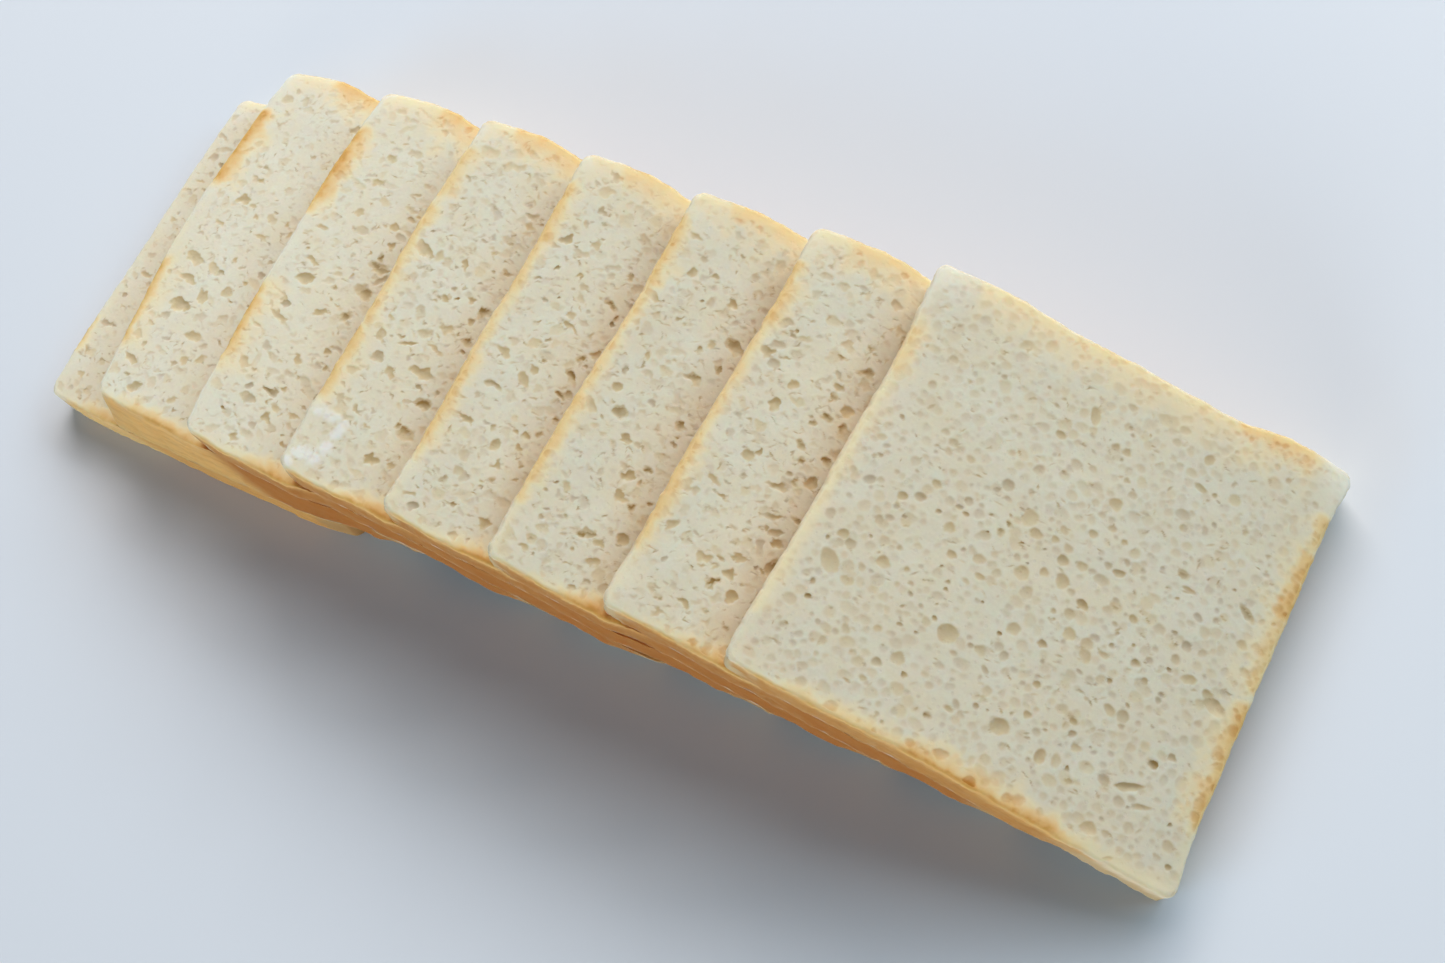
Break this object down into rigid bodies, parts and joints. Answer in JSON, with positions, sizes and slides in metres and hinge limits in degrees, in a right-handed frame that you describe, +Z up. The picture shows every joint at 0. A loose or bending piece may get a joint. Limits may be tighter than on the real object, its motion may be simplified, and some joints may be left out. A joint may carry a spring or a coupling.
{
  "type": "sliced tin loaf",
  "caption": "Square white tin loaf cut in thick slices that have toppled into a leaning fan, the first lying flat and each next one resting on the one before.",
  "frame": {"origin": "middle of the footprint, at the height of the surface that the slices rest on", "axes": "+X along the fan, from the flat bottom slice to the top slice; +Y across the slices; +Z up"},
  "size_m": [0.3834, 0.1316, 0.0579],
  "materials": {
    "white_bread": "soft matt white crumb with open pores, thin golden crust round the edge, paler at the corners"
  },
  "bodies": {
    "root": {"slice_1": "white_bread", "slice_2": "white_bread", "slice_3": "white_bread", "slice_4": "white_bread", "slice_5": "white_bread", "slice_6": "white_bread", "slice_7": "white_bread", "slice_8": "white_bread"}
  },
  "joints": []
}
